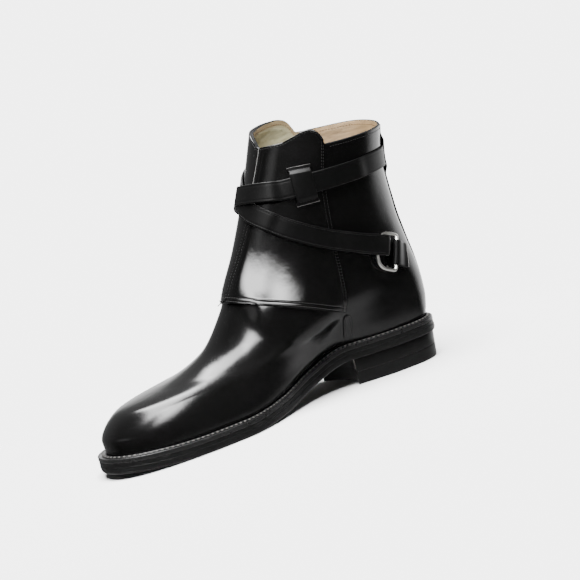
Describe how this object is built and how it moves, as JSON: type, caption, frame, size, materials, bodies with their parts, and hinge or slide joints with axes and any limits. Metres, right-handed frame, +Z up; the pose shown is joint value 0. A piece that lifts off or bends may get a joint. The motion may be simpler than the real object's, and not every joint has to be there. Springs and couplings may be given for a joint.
{
  "type": "jodhpur boot",
  "caption": "Right-foot black leather ankle boot with a wrap strap held by a D-ring and keepers, lapped front panels, storm welt and low heel.",
  "frame": {"origin": "middle of the sole's outline, on the floor", "axes": "+X towards the toe, +Y towards the medial (inner) side of a right foot, +Z up"},
  "size_m": [0.3088, 0.1098, 0.2125],
  "materials": {
    "upper": "smooth, high gloss",
    "strap": "smooth, semi gloss",
    "welt": "waxed, semi gloss",
    "sole": "dyed edge, satin",
    "top_piece": "satin",
    "insole": "matt",
    "ring": "polished, slightly worn"
  },
  "bodies": {
    "root": {"outsole": "sole", "midsole": "sole", "heel_base": "sole", "heel_top_piece": "top_piece", "welt": "welt", "insole": "insole", "upper": "upper", "medial_panel": "upper", "lateral_panel": "upper", "backstay": "upper", "side_strip_medial": "upper", "side_strip_lateral": "upper", "wrap_strap": "strap", "strap_keeper": "strap", "ring_tab": "strap", "ring": "ring"}
  },
  "joints": []
}
